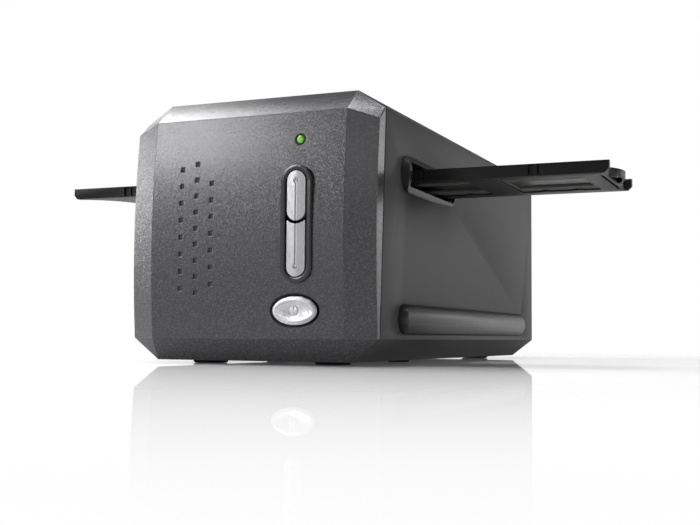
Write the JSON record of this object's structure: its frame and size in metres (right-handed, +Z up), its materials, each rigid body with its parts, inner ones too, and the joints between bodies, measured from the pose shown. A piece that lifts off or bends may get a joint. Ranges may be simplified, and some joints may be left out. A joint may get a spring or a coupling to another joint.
{
  "type": "film negative scanner",
  "caption": "Dedicated film scanner: upright octagonal case with a film slot through its sides, a sliding slide holder, front buttons and a belt-driven optical carriage.",
  "frame": {"origin": "on the surface the scanner stands on, below the middle of the film gate seen from the front, half way between the front and the back", "axes": "+X to the right seen from the front, along the holder; +Y from the front to the back; +Z up"},
  "size_m": [0.2711, 0.2734, 0.119],
  "materials": {
    "charcoal_plastic": "satin pearl, dark charcoal",
    "dark_grip_plastic": "satin pearl, darker charcoal",
    "black_plastic": "fine grained black",
    "silver_plastic": "satin silver lacquer",
    "green_lens_plastic": "translucent green",
    "foot_rubber": "matte black",
    "belt_rubber": "matte black",
    "steel": "bright",
    "chassis_steel": "galvanised sheet",
    "bush_brass": "turned",
    "mirror_glass": "front-silvered",
    "lens_glass": "coated",
    "mount_plastic": "light grey slide mount",
    "film": "dark developed film",
    "board_green": "solder-masked circuit board",
    "chip_black": "moulded chips",
    "sensor_ceramic": "dark ceramic package",
    "diffuser_white": "opal",
    "white_plastic": "white",
    "cable_plastic": "flat ribbon",
    "nickel": "nickel-plated shell"
  },
  "bodies": {
    "body": {"front_bezel": "charcoal_plastic", "sleeve": "charcoal_plastic", "slot_collar_right": "charcoal_plastic", "slot_collar_left": "charcoal_plastic", "grip_right": "dark_grip_plastic", "grip_left": "dark_grip_plastic", "button_frame": "black_plastic", "indicator_lens": "green_lens_plastic", "indicator_ring": "black_plastic", "flap_pins": "steel", "flap_spring_right": "steel", "flap_spring_left": "steel", "rear_panel": "black_plastic", "base_plate": "black_plastic", "feet_large": "foot_rubber", "feet_small": "foot_rubber", "case_screws": "steel", "chassis": "chassis_steel", "chassis_screws": "steel", "gate_bridge": "chassis_steel", "film_guide_lower": "black_plastic", "film_guide_upper": "black_plastic", "detent_spring": "steel", "lamp_housing": "white_plastic", "diffuser": "diffuser_white", "led_board": "board_green", "guide_rods": "steel", "motor": "chassis_steel", "motor_bracket": "chassis_steel", "idler_bracket": "chassis_steel", "drive_belt": "belt_rubber", "main_board": "board_green", "board_parts": "chip_black", "usb_socket": "nickel", "power_inlet": "black_plastic", "switch_board": "board_green", "tact_switches": "chip_black", "spring_upper": "steel", "spring_lower": "steel", "spring_power": "steel", "flat_cable": "cable_plastic"},
    "holder": {"holder_base": "black_plastic", "slide_mounts": "mount_plastic", "film_chips": "film"},
    "carriage": {"carriage_tray": "black_plastic", "carriage_cover": "black_plastic", "scan_mirror": "mirror_glass", "lens_barrel": "black_plastic", "lens_glass": "lens_glass", "ccd_board": "board_green", "ccd_sensor": "sensor_ceramic", "rod_bushes": "bush_brass", "belt_clamp": "black_plastic"},
    "drive_pulley": {"drive_pulley": "bush_brass"},
    "idler_pulley": {"idler_pulley": "white_plastic"},
    "upper_button": {"scan_button_upper": "silver_plastic"},
    "lower_button": {"scan_button_lower": "silver_plastic"},
    "power_button": {"power_button": "silver_plastic"},
    "right_flap": {"dust_flap_right": "black_plastic"},
    "left_flap": {"dust_flap_left": "black_plastic"}
  },
  "joints": [
    {"name": "holder_slide", "type": "slide", "parent": "body", "child": "holder", "axis": [1, 0, 0], "range_m": [-0.1026, 0.1026], "deforming": ["detent_spring"]},
    {"name": "carriage_slide", "type": "slide", "parent": "body", "child": "carriage", "axis": [0, 1, 0], "range_m": [0, 0.026], "deforming": ["flat_cable"]},
    {"name": "drive_pulley_spin", "type": "hinge", "parent": "body", "child": "drive_pulley", "pos_m": [-0.055, 0.088, 0.046], "axis": [0, 0, 1], "range_deg": [0, 300]},
    {"name": "idler_pulley_spin", "type": "hinge", "parent": "body", "child": "idler_pulley", "pos_m": [-0.055, -0.02, 0.046], "axis": [0, 0, 1], "range_deg": [0, 300]},
    {"name": "upper_button_press", "type": "slide", "parent": "body", "child": "upper_button", "axis": [0, 1, 0], "range_m": [0, 0.0008], "stiffness_N_per_m": 500, "springref_m": -0.0015, "deforming": ["spring_upper"]},
    {"name": "lower_button_press", "type": "slide", "parent": "body", "child": "lower_button", "axis": [0, 1, 0], "range_m": [0, 0.0008], "stiffness_N_per_m": 500, "springref_m": -0.0015, "deforming": ["spring_lower"]},
    {"name": "power_button_press", "type": "slide", "parent": "body", "child": "power_button", "axis": [0, 1, 0], "range_m": [0, 0.0008], "stiffness_N_per_m": 500, "springref_m": -0.0015, "deforming": ["spring_power"]},
    {"name": "right_flap_hinge", "type": "hinge", "parent": "body", "child": "right_flap", "pos_m": [0.039, -0.0644, 0.0892], "axis": [0, 1, 0], "range_deg": [0, 60], "stiffness_Nm_per_rad": 0.002, "springref_deg": -20.05, "deforming": ["flap_spring_right"]},
    {"name": "left_flap_hinge", "type": "hinge", "parent": "body", "child": "left_flap", "pos_m": [-0.0718, -0.0644, 0.0892], "axis": [0, -1, 0], "range_deg": [0, 60], "stiffness_Nm_per_rad": 0.002, "springref_deg": -20.05, "deforming": ["flap_spring_left"]}
  ],
  "couplings": [
    {"joint": "drive_pulley_spin", "follows": "carriage_slide", "rad_per_m": 193.26},
    {"joint": "idler_pulley_spin", "follows": "carriage_slide", "rad_per_m": 193.26}
  ]
}
